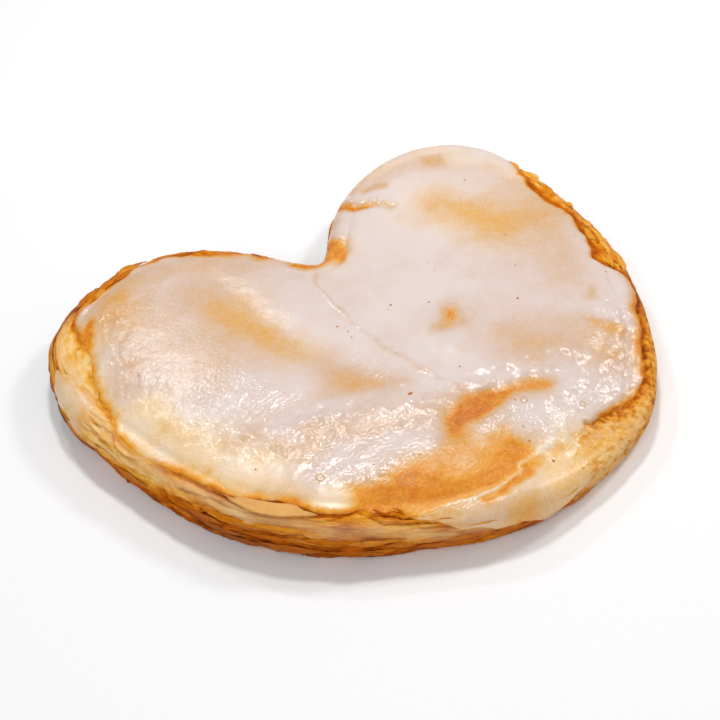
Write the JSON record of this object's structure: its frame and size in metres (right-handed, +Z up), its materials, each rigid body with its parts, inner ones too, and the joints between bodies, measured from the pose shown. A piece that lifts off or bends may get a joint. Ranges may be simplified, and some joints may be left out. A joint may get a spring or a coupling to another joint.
{
  "type": "palmier pastry",
  "caption": "Large flat heart-shaped puff pastry palmier with a notch between two lobes, layered sides and a white sugar glaze on top.",
  "frame": {"origin": "under the middle of the heart's bounding box, on the face it rests on", "axes": "+Z up, +X along the longest extent across the two lobes, +Y from the blunt tip towards the notch"},
  "size_m": [0.2729, 0.253, 0.0283],
  "materials": {
    "crust": "baked golden puff pastry, flaky and slightly greasy",
    "glaze": "set sugar glaze, milky white, thin and translucent in places"
  },
  "bodies": {
    "root": {"pastry": "crust"}
  },
  "joints": []
}
